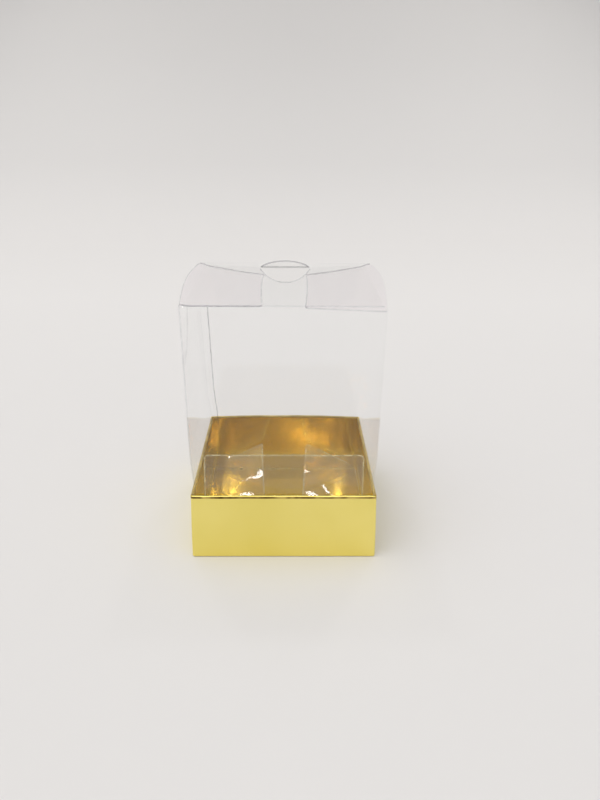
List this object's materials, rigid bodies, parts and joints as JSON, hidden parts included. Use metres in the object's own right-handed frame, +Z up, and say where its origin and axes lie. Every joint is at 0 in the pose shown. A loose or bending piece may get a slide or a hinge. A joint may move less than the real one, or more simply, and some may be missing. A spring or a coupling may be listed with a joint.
{
  "type": "favor box",
  "caption": "Clear plastic tuck-end favor box standing in a shallow gold card tray, with a hinged lid, thumb tab, dust flaps and turned-over tray walls.",
  "frame": {"origin": "middle of the tray's underside", "axes": "+Z up, -Y towards the wall that the lid is hinged on, +X to the right of that wall"},
  "size_m": [0.0558, 0.0532, 0.0731],
  "materials": {
    "clear_sheet": "clear glossy plastic sheet",
    "gold_card": "card laminated with gold metallised foil"
  },
  "bodies": {
    "tray": {"tray_floor": "gold_card", "tray_front_wall": "gold_card", "tray_back_wall": "gold_card", "tray_left_wall": "gold_card", "tray_right_wall": "gold_card", "tray_front_lining": "gold_card", "tray_back_lining": "gold_card", "tray_left_lining": "gold_card", "tray_right_lining": "gold_card", "tray_front_left_tab": "gold_card", "tray_front_right_tab": "gold_card", "tray_back_left_tab": "gold_card", "tray_back_right_tab": "gold_card"},
    "clear_box": {"front_wall": "clear_sheet", "back_wall": "clear_sheet", "left_wall": "clear_sheet", "right_wall": "clear_sheet", "glue_tab": "clear_sheet", "bottom_panel": "clear_sheet", "bottom_tuck_flap": "clear_sheet"},
    "lid": {"lid_panel": "clear_sheet"},
    "lid_tuck": {"lid_tuck_flap": "clear_sheet"},
    "left_flap": {"left_dust_flap": "clear_sheet"},
    "right_flap": {"right_dust_flap": "clear_sheet"},
    "bottom_left_flap": {"bottom_left_dust_flap": "clear_sheet"},
    "bottom_right_flap": {"bottom_right_dust_flap": "clear_sheet"}
  },
  "joints": [
    {"name": "box_lift", "type": "slide", "parent": "tray", "child": "clear_box", "axis": [0, 0, 1], "range_m": [0, 0.025]},
    {"name": "lid_hinge", "type": "hinge", "parent": "clear_box", "child": "lid", "pos_m": [0, -0.02485, 0.07285], "axis": [1, 0, 0], "range_deg": [0, 180]},
    {"name": "tuck_hinge", "type": "hinge", "parent": "lid", "child": "lid_tuck", "pos_m": [0, 0.0232, 0.0721], "axis": [1, 0, 0], "range_deg": [0, 64]},
    {"name": "left_flap_hinge", "type": "hinge", "parent": "clear_box", "child": "left_flap", "pos_m": [-0.0245, 0, 0.07164], "axis": [0, 1, 0], "range_deg": [0, 78]},
    {"name": "right_flap_hinge", "type": "hinge", "parent": "clear_box", "child": "right_flap", "pos_m": [0.0245, 0, 0.07164], "axis": [0, -1, 0], "range_deg": [0, 78]},
    {"name": "bottom_left_flap_hinge", "type": "hinge", "parent": "clear_box", "child": "bottom_left_flap", "pos_m": [-0.0245, 0, 0.00085], "axis": [0, -1, 0], "range_deg": [-29, 45]},
    {"name": "bottom_right_flap_hinge", "type": "hinge", "parent": "clear_box", "child": "bottom_right_flap", "pos_m": [0.0245, 0, 0.00085], "axis": [0, 1, 0], "range_deg": [-29, 45]}
  ],
  "couplings": [
    {"joint": "tuck_hinge", "follows": "lid_hinge", "ratio": 0.35}
  ]
}
